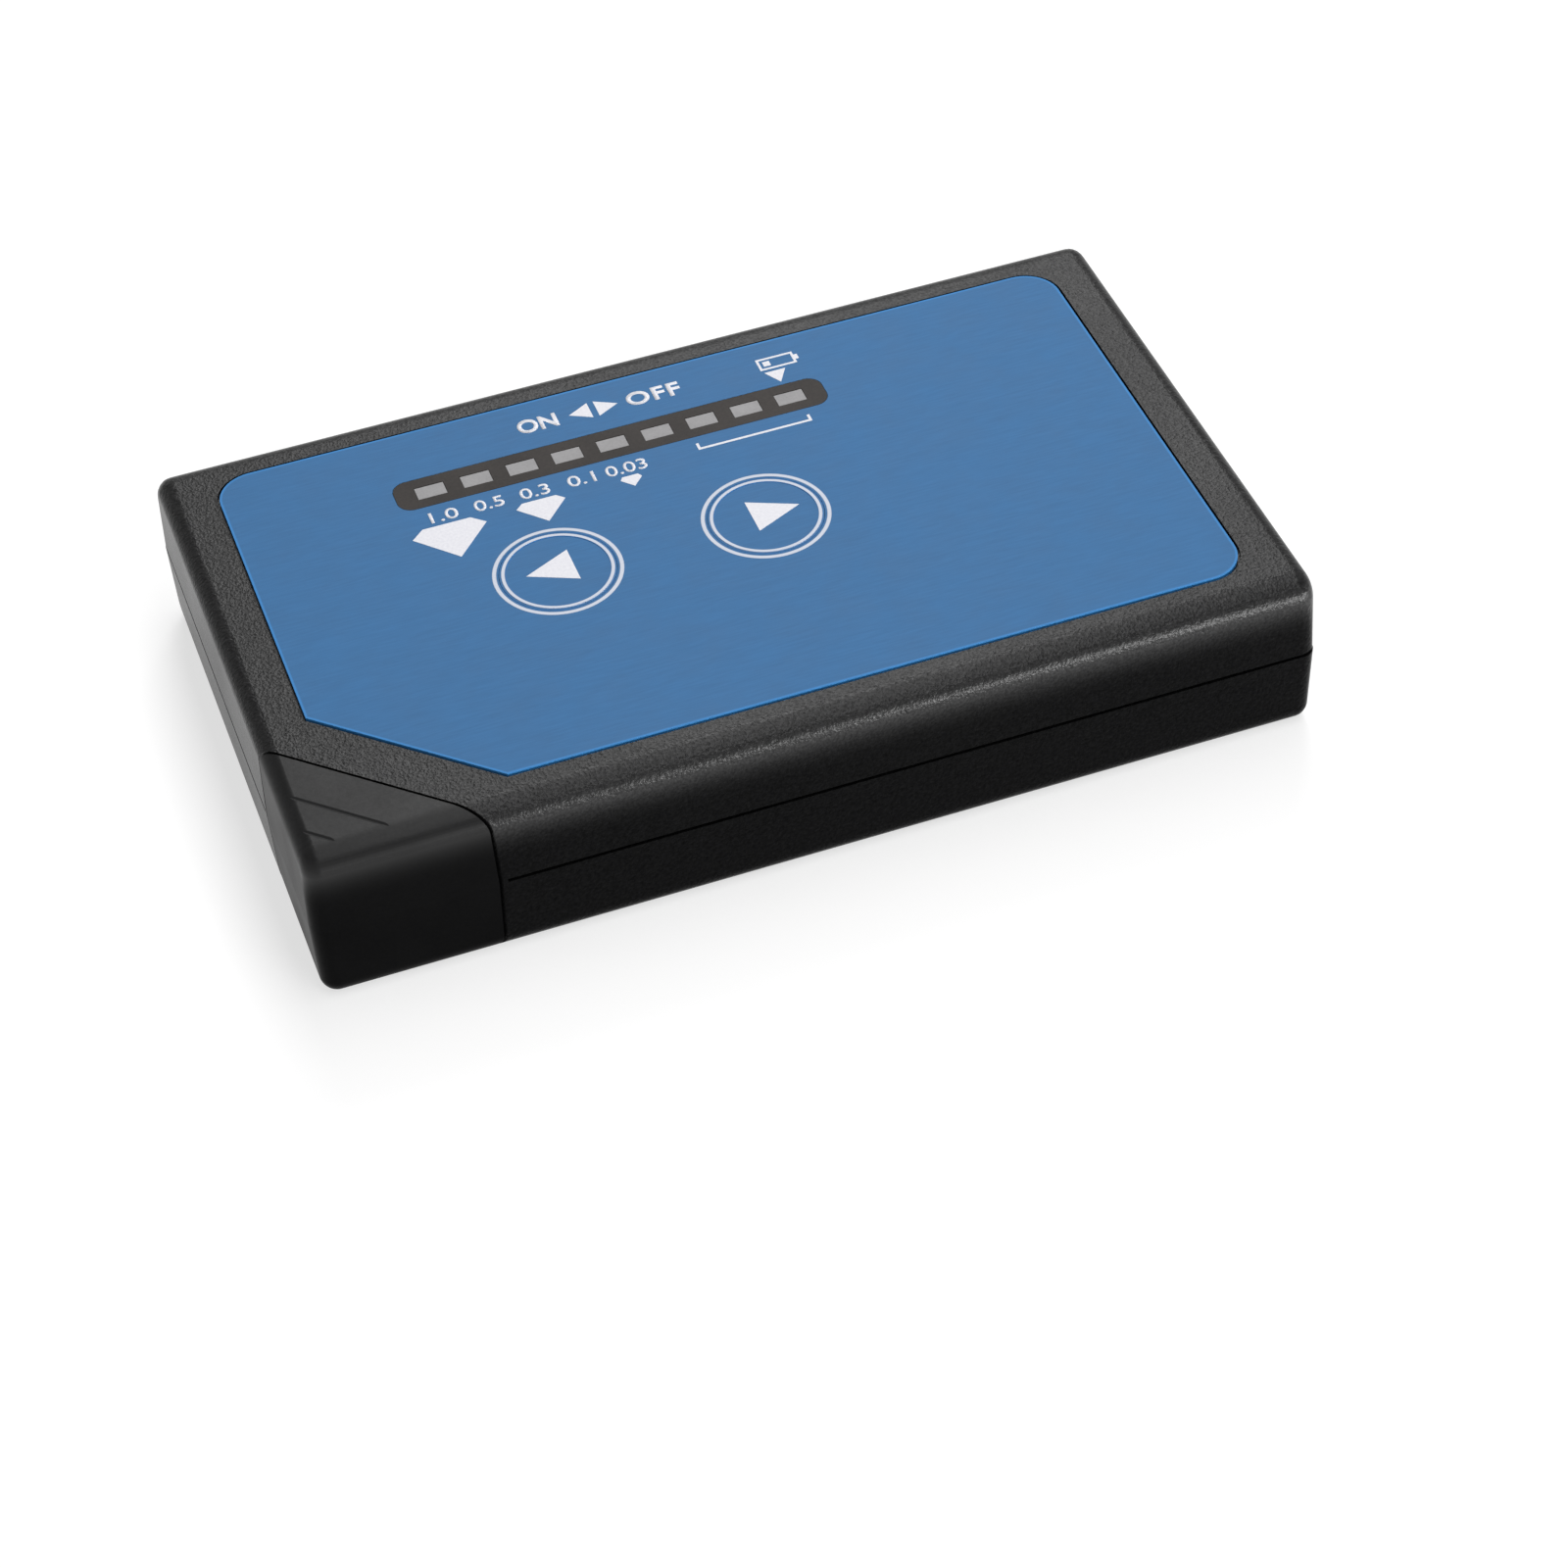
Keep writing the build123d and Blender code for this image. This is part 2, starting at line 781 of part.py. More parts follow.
def make_key(place):
    """A round key: an area of the film with an embossed rim, on a pad with a hidden flange."""
    flange_top = ceiling - key_flange_play
    with BuildPart() as key:
        with BuildSketch(Plane.XY.offset(flange_top)):
            with Locations(place):
                Circle(key_radius)
        extrude(amount=film_top - flange_top)
        with BuildSketch(Plane.XY.offset(film_top)):
            with Locations(place):
                Circle(key_rim_radius)
                Circle(key_rim_radius - key_rim_width, mode=Mode.SUBTRACT)
        extrude(amount=key_rim_height)
        with BuildSketch(Plane.XY.offset(flange_top - key_flange_thickness)):
            with Locations(place):
                Circle(key_radius + key_wall_clearance + key_flange_width)
        extrude(amount=key_flange_thickness)
    return key


# Electronics


def make_circuit_board():
    """The board, cut off square to the probe, with holes for the post pins."""
    with BuildPart() as circuit_board:
        with BuildSketch(Plane.XY.offset(board_underside)):
            with Locations(((board_left + board_right) / 2, 0)):
                Rectangle(board_right - board_left, 2 * board_half_width)
            with Locations(*post_places):
                Circle(post_pin_radius + board_hole_clearance, mode=Mode.SUBTRACT)
        extrude(amount=board_thickness)
        split(bisect_by=seam_plane.offset(-board_cut_distance), keep=Keep.BOTTOM)
    return circuit_board


def make_switch(place):
    """A square push switch with a well for its plunger."""
    switch_top = board_top + switch_height
    well_depth = plunger_depth + key_travel + plunger_end_play
    with BuildPart() as switch:
        with BuildSketch(Plane.XY.offset(board_top)):
            with Locations(place):
                Rectangle(switch_width, switch_width)
        extrude(amount=switch_height - switch_cover_height)
        with BuildSketch(Plane.XY.offset(switch_top - switch_cover_height)):
            with Locations(place):
                Rectangle(
                    switch_width - 2 * switch_cover_inset,
                    switch_width - 2 * switch_cover_inset,
                )
        extrude(amount=switch_cover_height)
        with BuildSketch(Plane.XY.offset(switch_top - well_depth)):
            with Locations(place):
                Circle(plunger_radius + plunger_clearance)
        extrude(amount=well_depth, mode=Mode.SUBTRACT)
    return switch


def make_plunger(place):
    """The switch's plunger, which reaches up to the key."""
    base = board_top + switch_height - plunger_depth
    with BuildPart() as plunger:
        with BuildSketch(Plane.XY.offset(base)):
            with Locations(place):
                Circle(plunger_radius)
        extrude(amount=ceiling - key_flange_play - key_flange_thickness - base)
    return plunger


def make_chip(x, pins_per_side):
    """A chip in a line package, with its rows of pins down to the board."""
    length = pins_per_side * chip_pin_pitch + 2 * (chip_end_margin - chip_pin_pitch / 2)
    pin_top = chip_standoff + chip_height / 2
    with BuildPart() as chip:
        with BuildSketch(Plane.XY.offset(board_top + chip_standoff)):
            with Locations((x, chip_y)):
                Rectangle(length, chip_width)
        extrude(amount=chip_height)
        with BuildSketch(Plane.XY.offset(board_top + chip_standoff + chip_height - chip_dimple_depth)):
            with Locations((x - length / 2, chip_y)):
                Circle(chip_dimple_radius)
        extrude(amount=chip_dimple_depth, mode=Mode.SUBTRACT)
        for side in (-1, 1):
            shoulder = (chip_row_spacing + chip_pin_thickness - chip_width) / 2
            with BuildSketch(Plane.XY.offset(board_top + pin_top - chip_pin_thickness)):
                with Locations((x, chip_y + side * (chip_width + shoulder) / 2)):
                    with GridLocations(chip_pin_pitch, 0, pins_per_side, 1):
                        Rectangle(chip_pin_width, shoulder)
            extrude(amount=chip_pin_thickness)
            with BuildSketch(Plane.XY.offset(board_top)):
                with Locations((x, chip_y + side * chip_row_spacing / 2)):
                    with GridLocations(chip_pin_pitch, 0, pins_per_side, 1):
                        Rectangle(chip_pin_width, chip_pin_thickness)
            extrude(amount=pin_top)
    return chip


def make_resistors():
    """A row of axial resistors with bent leads, each its own solid."""
    resistor_x = on_key_x - resistor_key_gap
    first_y = board_half_width - resistor_side_gap
    axis_height = board_top + resistor_radius + resistor_gap
    reach = resistor_length / 2 + resistor_lead_reach
    body_plane = Plane.YZ.offset(resistor_x - resistor_length / 2)
    with BuildPart() as resistors:
        for number in range(resistor_count):
            y = first_y - number * resistor_pitch
            with BuildSketch(body_plane):
                with Locations((y, axis_height)):
                    Circle(resistor_radius)
            extrude(amount=resistor_length)
            with BuildLine() as lead:
                Polyline(
                    (resistor_x - reach, y, board_top),
                    (resistor_x - reach, y, axis_height),
                    (resistor_x + reach, y, axis_height),
                    (resistor_x + reach, y, board_top),
                )
            with BuildSketch(Plane.XY.offset(board_top)):
                with Locations((resistor_x - reach, y)):
                    Rectangle(resistor_lead_width, resistor_lead_width)
            sweep(path=lead.line, transition=Transition.RIGHT)
    return resistors


def make_trim_pot():
    """A small square trimmer with a slotted adjuster."""
    trim_pot_x = window_x - window_length / 2 - trim_pot_window_gap
    place = (trim_pot_x, board_half_width - trim_pot_side_gap)
    with BuildPart() as trim_pot:
        with BuildSketch(Plane.XY.offset(board_top)):
            with Locations(place):
                Rectangle(trim_pot_width, trim_pot_width)
        extrude(amount=trim_pot_height)
        with BuildSketch(Plane.XY.offset(board_top + trim_pot_height)):
            with Locations(place):
                Circle(trim_pot_screw_radius)
                Rectangle(2 * trim_pot_screw_radius, trim_pot_slot_width, mode=Mode.SUBTRACT)
        extrude(amount=trim_pot_screw_rise)
    return trim_pot


def make_capacitors():
    """Two can capacitors that hang under the board, each its own solid."""
    with BuildPart() as capacitors:
        with BuildSketch(Plane.XY.offset(board_underside - capacitor_height)):
            with Locations((window_x + capacitor_offset, capacitor_y)):
                with GridLocations(capacitor_pitch, 0, 2, 1):
                    Circle(capacitor_radius)
        extrude(amount=capacitor_height)
        chamfer(capacitors.edges().group_by(Axis.Z)[0], capacitor_edge)
    return capacitors


def make_buzzer():
    """A round buzzer under the board, with its sound hole facing down."""
    place = (window_x + buzzer_offset, buzzer_y)
    with BuildPart() as buzzer:
        with BuildSketch(Plane.XY.offset(board_underside - buzzer_height)):
            with Locations(place):
                Circle(buzzer_radius)
        extrude(amount=buzzer_height)
        chamfer(buzzer.edges().group_by(Axis.Z)[0], buzzer_edge)
        with BuildSketch(Plane.XY.offset(board_underside - buzzer_height)):
            with Locations(place):
                Circle(buzzer_hole_radius)
        extrude(amount=buzzer_hole_depth, mode=Mode.SUBTRACT)
    return buzzer


# Probe


def turned_piece(points):
    """A solid turned about the probe's axis from (distance outward, radius) points."""
    with BuildPart() as piece:
        with BuildSketch(probe_profile_plane):
            with BuildLine():
                Polyline(*points, close=True)
            make_face()
        revolve(axis=probe_axis)
    return piece


def make_probe_nose():
    """Moulded nose: a flange behind the seam wall, a neck through it and a cone."""
    bore = tip_radius + tip_clearance
    return turned_piece(
        [
            (nose_back, bore),
            (nose_back, nose_flange_radius),
            (-seam_inner, nose_flange_radius),
            (-seam_inner, nose_radius),
            (nose_shoulder, nose_radius),
            (nose_length, nose_end_radius),
            (nose_length, bore),
        ]
    )


def make_probe_barrel():
    """Brass barrel behind the nose."""
    return turned_piece(
        [
            (barrel_back, barrel_bore_radius),
            (barrel_back, barrel_radius),
            (nose_back, barrel_radius),
            (nose_back, barrel_bore_radius),
        ]
    )


def make_probe_tip():
    """Copper pin with a round end and the collar that its spring pushes on."""
    collar_back = nose_back - tip_collar_thickness
    with BuildPart() as probe_tip:
        with BuildSketch(probe_profile_plane):
            with BuildLine():
                Polyline(
                    (tip_reach - tip_radius, tip_radius),
                    (nose_back, tip_radius),
                    (nose_back, tip_collar_radius),
                    (collar_back, tip_collar_radius),
                    (collar_back, tip_radius),
                    (collar_back - tip_tail - tip_travel, tip_radius),
                    (collar_back - tip_tail - tip_travel, 0),
                    (tip_reach, 0),
                )
                RadiusArc((tip_reach, 0), (tip_reach - tip_radius, tip_radius), -tip_radius)
            make_face()
        revolve(axis=probe_axis)
    return probe_tip


def make_probe_spring():
    """Coil spring of square wire between the tip's collar and the insulator."""
    spring_back = barrel_back + insulator_plug_length + spring_wire_width
    spring_front = nose_back - tip_collar_thickness - spring_wire_width
    spring_length = spring_front - spring_back
    start = probe_centre + outward * spring_back
    with BuildPart() as probe_spring:
        with BuildLine() as coil:
            Helix(
                pitch=spring_length / spring_turns,
                height=spring_length,
                radius=spring_radius,
                center=start,
                direction=outward,
            )
        with BuildSketch(Plane(origin=coil.line @ 0, x_dir=outward, z_dir=coil.line % 0)):
            Rectangle(spring_wire_width, spring_wire_width)
        sweep(path=coil.line, is_frenet=True)
    return probe_spring


def make_probe_insulator():
    """Plug in the back of the barrel that the spring stands on."""
    return turned_piece(
        [
            (barrel_back - insulator_length, 0),
            (barrel_back - insulator_length, barrel_radius),
            (barrel_back, barrel_radius),
            (barrel_back, barrel_bore_radius - insulator_clearance),
            (barrel_back + insulator_plug_length, barrel_bore_radius - insulator_clearance),
            (barrel_back + insulator_plug_length, 0),
        ]
    )


# Battery


def make_battery():
    """Block battery with rounded long edges and a rolled seam at its terminal end."""
    centre = Vector(battery_x, battery_y - battery_length / 2, battery_base + battery_thickness / 2)
    seam_outline = Plane(origin=centre, x_dir=(1, 0, 0), z_dir=(0, 1, 0))
    with BuildPart() as battery:
        with BuildSketch(seam_outline):
            RectangleRounded(battery_width, battery_thickness, battery_corner_radius)
        extrude(amount=battery_length)
        with BuildSketch(seam_outline.offset(battery_length - 3 * battery_seam_height)):
            RectangleRounded(battery_width, battery_thickness, battery_corner_radius)
            RectangleRounded(
                battery_width - 2 * battery_seam_depth,
                battery_thickness - 2 * battery_seam_depth,
                battery_corner_radius - battery_seam_depth,
                mode=Mode.SUBTRACT,
            )
        extrude(amount=battery_seam_height, mode=Mode.SUBTRACT)
    return battery


def terminal_plane(offset):
    """A plane square to the battery's terminals, at a distance from its end."""
    centre = Vector(battery_x, battery_top_end + offset, battery_base + battery_thickness / 2)
    return Plane(origin=centre, x_dir=(-1, 0, 0), z_dir=(0, 1, 0))


def make_battery_terminals():
    """The round and the six-sided snap studs, each its own solid."""
    with BuildPart() as battery_terminals:
        with BuildSketch(terminal_plane(0)):
            with Locations((-terminal_spacing / 2, 0)):
                Circle(plus_terminal_radius)
            with Locations((terminal_spacing / 2, 0)):
                RegularPolygon(minus_terminal_radius, 6)
        extrude(amount=terminal_height)
    return battery_terminals


def make_battery_snap():
    """The connector plate that snaps over both studs."""
    with BuildPart() as battery_snap:
        with BuildSketch(terminal_plane(0)):
            RectangleRounded(snap_width, snap_height, snap_corner_radius)
        extrude(amount=snap_thickness)
        with BuildSketch(terminal_plane(0)):
            with Locations((-terminal_spacing / 2, 0)):
                Circle(plus_terminal_radius + terminal_clearance)
            with Locations((terminal_spacing / 2, 0)):
                RegularPolygon(minus_terminal_radius + terminal_clearance, 6)
        extrude(amount=terminal_height + terminal_clearance, mode=Mode.SUBTRACT)
    return battery_snap


# Leads


def bend_radii(points):
    """The largest easy arc at each corner of a route."""
    radii = []
    for before, corner, after in zip(points, points[1:], points[2:]):
        first = Vector(*corner) - Vector(*before)
        second = Vector(*after) - Vector(*corner)
        turn = radians(first.get_angle(second))
        radii.append(bend_share * min(first.length, second.length) / tan(turn / 2))
    return radii


def make_lead(name, points, radius):
    """A round lead along straight runs joined by arcs."""
    radii = bend_radii(points)
    print(name, "bend radii", [round(value, 2) for value in radii])
    with BuildPart() as lead:
        with BuildLine() as route:
            FilletPolyline(*points, radius=radii)
        with BuildSketch(Plane(origin=route.line @ 0, z_dir=route.line % 0)):
            Circle(radius)
        sweep(path=route.line)
    return lead


def battery_lead_points(level, run):
    """Route of a battery lead: from the snap, through the bay wall, up to the board."""
    snap_side = battery_x - snap_width / 2
    return [
        (snap_side, lead_y, level),
        (snap_side - run, lead_y, level),
        (snap_side - run, lead_y, board_underside),
    ]


def probe_lead_points():
    """Route of the probe's lead: out of the insulator, under the board and up to it."""
    back = barrel_back - insulator_length
    board_rise = board_underside - parting_height
    low = board_rise - probe_lead_depth
    first = back - probe_lead_start
    second = first - probe_lead_run
    third = second - probe_lead_run
    spots = [(back, 0), (first, 0), (second, low), (third, low), (third, board_rise)]
    return [tuple(probe_centre + outward * distance + Vector(0, 0, rise)) for distance, rise in spots]


# Build and export every piece

pieces = {
    "top_shell": make_top_shell(),
    "bottom_shell": make_bottom_shell(),
    "corner_cap": make_corner_cap(),
    "battery_door": make_battery_door(),
    "case_screws": make_case_screws(),
    "face_panel": make_face_panel(),
    "led_window": make_led_window(),
    "on_key": make_key(key_places[0]),
    "off_key": make_key(key_places[1]),
    "circuit_board": make_circuit_board(),
    "on_switch": make_switch(key_places[0]),
    "off_switch": make_switch(key_places[1]),
    "on_plunger": make_plunger(key_places[0]),
    "off_plunger": make_plunger(key_places[1]),
    "driver_chip": make_chip(board_right - driver_chip_end_gap, driver_pins_per_side),
    "amplifier_chip": make_chip(board_right - amplifier_chip_end_gap, amplifier_pins_per_side),
    "resistors": make_resistors(),
    "trim_pot": make_trim_pot(),
    "capacitors": make_capacitors(),
    "buzzer": make_buzzer(),
    "probe_nose": make_probe_nose(),
    "probe_barrel": make_probe_barrel(),
    "probe_tip": make_probe_tip(),
    "probe_spring": make_probe_spring(),
    "probe_insulator": make_probe_insulator(),
    "battery": make_battery(),
    "battery_terminals": make_battery_terminals(),
    "battery_snap": make_battery_snap(),
    "red_lead": make_lead("red_lead", battery_lead_points(lead_height, lead_run), lead_radius),
    "black_lead": make_lead(
        "black_lead",
        battery_lead_points(lead_height + 2 * lead_radius + lead_gap, lead_run - 4 * lead_radius),
        lead_radius,
    ),
    "probe_lead": make_lead("probe_lead", probe_lead_points(), probe_lead_radius),
}
for number, place in enumerate(light_places):
    pieces[f"led_{number + 1}"] = make_light(place)

os.makedirs("parts", exist_ok=True)
for name, piece in pieces.items():
    piece.part.label = name
    export_step(piece.part, f"parts/{name}.step")
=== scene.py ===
import json

import bmesh
import bpy
from mathutils import Matrix, Vector


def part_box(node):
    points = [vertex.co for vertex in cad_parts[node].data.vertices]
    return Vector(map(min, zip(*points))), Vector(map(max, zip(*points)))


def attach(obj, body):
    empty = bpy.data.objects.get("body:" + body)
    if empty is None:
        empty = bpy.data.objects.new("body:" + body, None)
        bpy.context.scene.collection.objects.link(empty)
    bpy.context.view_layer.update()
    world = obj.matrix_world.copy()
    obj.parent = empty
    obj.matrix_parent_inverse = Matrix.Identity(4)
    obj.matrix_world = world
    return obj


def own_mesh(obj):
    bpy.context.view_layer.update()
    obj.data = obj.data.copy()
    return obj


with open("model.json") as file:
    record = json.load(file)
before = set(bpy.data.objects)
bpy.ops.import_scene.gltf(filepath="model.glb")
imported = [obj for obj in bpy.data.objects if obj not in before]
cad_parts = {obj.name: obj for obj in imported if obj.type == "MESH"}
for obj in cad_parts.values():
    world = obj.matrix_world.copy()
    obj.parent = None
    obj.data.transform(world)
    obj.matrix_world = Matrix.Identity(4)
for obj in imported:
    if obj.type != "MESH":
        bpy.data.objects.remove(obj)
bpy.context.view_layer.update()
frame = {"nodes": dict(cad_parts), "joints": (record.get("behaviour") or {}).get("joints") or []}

# Lengths are in metres, in the CAD model's own frame. Sizes in millimetres are given times mm.
mm = 0.001
nodes = frame["nodes"]
film_low, film_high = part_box("face_panel")
film_top = film_high.z


def middle_of(node):
    """The middle of a CAD node's box, as seen from above."""
    low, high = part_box(node)
    return Vector(((low.x + high.x) / 2, (low.y + high.y) / 2))


on_key = middle_of("on_key")
off_key = middle_of("off_key")
last_light = middle_of("led_9")

# The way in which the cap pulls off, square to the film's cut corner
joints = {joint["name"]: joint for joint in frame["joints"]}
cap_way = Vector(joints["cap_pull"]["axis"])

# The white rings on the film and on the keys, how far the film's own rings stand up, and how soft
# the edges of the rings are
outer_ring_radii = (6.37 * mm, 6.79 * mm)
key_rim_radii = (5.5 * mm, 5.85 * mm)
ring_relief = 0.03 * mm
ring_softness = 0.04 * mm

# The film's corners, and the painted highlight along its border, a paler blue: from where to where it
# fades in, and how much of it shows
film_corner_radius = 4.0 * mm
border_highlight_start, border_highlight_full, border_highlight_strength = -0.3 * mm, -0.16 * mm, 0.5

# Half the width of a chip's body, half the length of a resistor's, and how softly tin starts there
chip_half_width = 3.2 * mm
resistor_half_length = 3.1 * mm
tin_softness = 0.05 * mm

# The heights between which the polish of the front fades in, and how steeply
polish_low, polish_high, polish_power = 11.5 * mm, 16.6 * mm, 4.0

# Colours
case_black = (0.0045, 0.0045, 0.0047)
film_colour = (0.047, 0.151, 0.325)
# Paler blue painted on the film's edges: a painted highlight where they would catch the light
film_edge_highlight = (0.055, 0.29, 0.70, 1.0)
ring_colour = (0.60, 0.63, 0.71, 1.0)
ink_colours = ((0.72, 0.72, 0.77, 1.0), (0.80, 0.80, 0.84, 1.0))
window_colour = (0.026, 0.022, 0.020)
lens_colour = (0.31, 0.305, 0.31)
board_colour = (0.02, 0.13, 0.05)
chip_colour = (0.025, 0.025, 0.027)
lacquer_colour = (0.42, 0.28, 0.14)
tin_colour = (0.62, 0.61, 0.58, 1.0)
white = (1.0, 1.0, 1.0, 1.0)


# Materials


def seen_directly(tree):
    """1 for rays that a viewer sees straight, mirrored or through glass, and 0 for plain light."""
    path = tree.nodes.new("ShaderNodeLightPath")
    seen = path.outputs["Is Camera Ray"]
    for name in ("Is Glossy Ray", "Is Transmission Ray"):
        larger = tree.nodes.new("ShaderNodeMath")
        larger.operation = "MAXIMUM"
        tree.links.new(seen, larger.inputs[0])
        tree.links.new(path.outputs[name], larger.inputs[1])
        seen = larger.outputs[0]
    return seen


def shades(colour, spread):
    """A darker and a lighter version of a colour."""
    dark = [part * (1 - spread) for part in colour] + [1.0]
    light = [min(1.0, part * (1 + spread)) for part in colour] + [1.0]
    return dark, light


class Surface:
    """A material's node tree, with its shader and the object's own coordinates at hand."""

    def __init__(self, name, roughness, specular=0.5, metallic=0.0):
        self.material = bpy.data.materials.new(name)
        self.material.use_nodes = True
        self.tree = self.material.node_tree
        self.shader = self.tree.nodes["Principled BSDF"]
        self.roughness(roughness)
        self.gloss(specular)
        self.metallic(metallic)
        self.place = self.add("ShaderNodeTexCoord").outputs["Object"]

    def add(self, kind, **settings):
        node = self.tree.nodes.new(kind)
        for name, value in settings.items():
            setattr(node, name, value)
        return node

    def feed(self, socket, value):
        """Sets a socket to a number or a colour, or links another socket to it."""
        if isinstance(value, bpy.types.NodeSocket):
            self.tree.links.new(value, socket)
        else:
            socket.default_value = value

    def colour(self, value):
        self.feed(self.shader.inputs["Base Color"], value)

    def roughness(self, value):
        self.feed(self.shader.inputs["Roughness"], value)

    def gloss(self, value):
        self.feed(self.shader.inputs["Specular IOR Level"], value)

    def metallic(self, value):
        self.feed(self.shader.inputs["Metallic"], value)

    def bump(self, height, depth):
        """Raises the surface by up to depth where height is 1. Several bumps add up."""
        node = self.add("ShaderNodeBump")
        node.inputs["Distance"].default_value = depth
        self.feed(node.inputs["Height"], height)
        normal = self.shader.inputs["Normal"]
        if normal.is_linked:
            self.feed(node.inputs["Normal"], normal.links[0].from_socket)
        self.feed(normal, node.outputs["Normal"])

    def calculate(self, kind, operation, values):
        node = self.add(kind, operation=operation)
        for socket, value in zip(node.inputs, values):
            self.feed(socket, value)
        return node.outputs

    def maths(self, operation, *values):
        return self.calculate("ShaderNodeMath", operation, values)["Value"]

    def vector_maths(self, operation, *values, output="Vector"):
        return self.calculate("ShaderNodeVectorMath", operation, values)[output]

    def times(self, first, second):
        return self.maths("MULTIPLY", first, second)

    def average(self, first, second, share):
        """A weighted average: the share is the first value's weight."""
        return self.maths("ADD", self.times(first, share), self.times(second, 1 - share))

    def between(self, value, low, high, start=0.0, end=1.0):
        """Maps low..high to start..end, and holds the ends."""
        node = self.add("ShaderNodeMapRange", clamp=True)
        limits = {"From Min": low, "From Max": high, "To Min": start, "To Max": end}
        for name, number in limits.items():
            node.inputs[name].default_value = number
        self.feed(node.inputs["Value"], value)
        return node.outputs["Result"]

    def uneven(self, noise, start=0.0, end=1.0, margin=0.3):
        """Maps a noise to start..end. A wider margin cuts off more of its lows and highs."""
        return self.between(noise, margin, 1 - margin, start, end)

    def blend(self, share, first, second):
        node = self.add("ShaderNodeMix", data_type="RGBA")
        self.feed(node.inputs["Factor"], share)
        self.feed(node.inputs["A"], first)
        self.feed(node.inputs["B"], second)
        return node.outputs["Result"]

    def shaded(self, noise, colour, spread, margin=0.3):
        """A colour that goes from darker to lighter as a noise rises."""
        return self.blend(self.uneven(noise, margin=margin), *shades(colour, spread))

    def tinned(self, where, colour):
        """Sets a colour, which turns to bare tin where a mask is 1."""
        self.colour(self.blend(where, colour, tin_colour))
        self.metallic(where)

    def noise(self, size, detail=3.0, roughness=0.5, stretch=(1, 1, 1)):
        """Soft noise whose bumps are about as wide as size, drawn out along the stretched axes."""
        mapping = self.add("ShaderNodeMapping")
        mapping.inputs["Scale"].default_value = [1 / (size * factor) for factor in stretch]
        self.feed(mapping.inputs["Vector"], self.place)
        texture = self.add("ShaderNodeTexNoise")
        texture.inputs["Scale"].default_value = 1.0
        texture.inputs["Detail"].default_value = detail
        texture.inputs["Roughness"].default_value = roughness
        self.feed(texture.inputs["Vector"], mapping.outputs["Vector"])
        return texture.outputs["Fac"]

    def part_of(self, vector, name):
        """One coordinate of a vector."""
        split = self.add("ShaderNodeSeparateXYZ")
        self.feed(split.inputs["Vector"], vector)
        return split.outputs[name]

    def axis(self, name):
        """One of the object's own coordinates."""
        return self.part_of(self.place, name)

    def facing(self, name):
        """One part of the surface's own direction."""
        return self.part_of(self.add("ShaderNodeNewGeometry").outputs["True Normal"], name)

    def edge_on(self, low, high, most):
        """Rises from 0 to the most where the surface is seen ever more from its edge."""
        weight = self.add("ShaderNodeLayerWeight").outputs["Facing"]
        return self.between(weight, low, high, 0.0, most)

    def topside(self):
        """1 on what faces up, and less on the walls, which are duller."""
        upward, wall_share = 0.3, 0.25
        return self.between(self.facing("Z"), 0.0, upward, wall_share, 1.0)

    def front_edge(self, most, least):
        """Polish on the front's rounded upper edge: the most at its foot, and fading down the wall."""
        fully_forward, barely_forward = -0.17, -0.03
        foot, crest = 0.15, 0.75
        forward = self.between(self.facing("Y"), fully_forward, barely_forward, 1.0, 0.0)
        height = self.between(self.axis("Z"), polish_low, polish_high)
        near_top = self.maths("POWER", height, polish_power)
        polish = self.between(self.facing("Z"), foot, crest, most, least)
        return self.times(self.times(forward, near_top), polish)

    def off_middle(self, name, middle):
        """How far a point lies from a middle value along one axis."""
        return self.maths("ABSOLUTE", self.maths("SUBTRACT", self.axis(name), middle))

    def ring(self, point, radii):
        """1 between two radii about an upright line through a point, and 0 elsewhere."""
        offsets = [self.off_middle(name, value) for name, value in zip("XY", point)]
        squares = [self.times(offset, offset) for offset in offsets]
        distance = self.maths("SQRT", self.maths("ADD", *squares))
        inner, outer = radii
        rise = self.between(distance, inner - ring_softness, inner + ring_softness)
        fall = self.between(distance, outer - ring_softness, outer + ring_softness, 1.0, 0.0)
        return self.times(rise, fall)


def moulded(name, colour, roughness, specular, grain, grain_depth, spread=0.2):
    """Moulded plastic with a fine eroded grain, slightly uneven in colour and gloss."""
    surface = Surface(name, roughness, specular)
    fine = surface.noise(grain, roughness=0.6)
    broad = surface.noise(9 * mm)
    tone = surface.average(fine, broad, 0.6)
    surface.colour(surface.shaded(tone, colour, spread))
    surface.roughness(surface.uneven(broad, roughness - 0.05, roughness + 0.05))
    surface.bump(fine, grain_depth)
    return surface.material


def case_plastic():
    """Black case plastic with a spark grain that catches the light in specks."""
    surface = Surface("case_plastic", 0.3)
    fine = surface.noise(0.27 * mm, detail=1.0)
    coarse = surface.noise(0.45 * mm, detail=2.0, roughness=0.6)
    broad = surface.noise(14 * mm)
    surface.colour(surface.shaded(coarse, case_black, 0.4, margin=0.35))
    surface.roughness(surface.uneven(broad, 0.28, 0.33))
    specks = surface.uneven(fine, 0.7, 1.3)
    plain = surface.times(surface.topside(), 0.105)
    polish = surface.front_edge(most=0.46, least=0.06)
    grained = surface.times(surface.maths("ADD", plain, polish), specks)
    surface.gloss(surface.maths("ADD", grained, surface.edge_on(0.7, 0.95, most=0.12)))
    surface.bump(coarse, 0.05 * mm)
    surface.bump(fine, 0.038 * mm)
    return surface.material


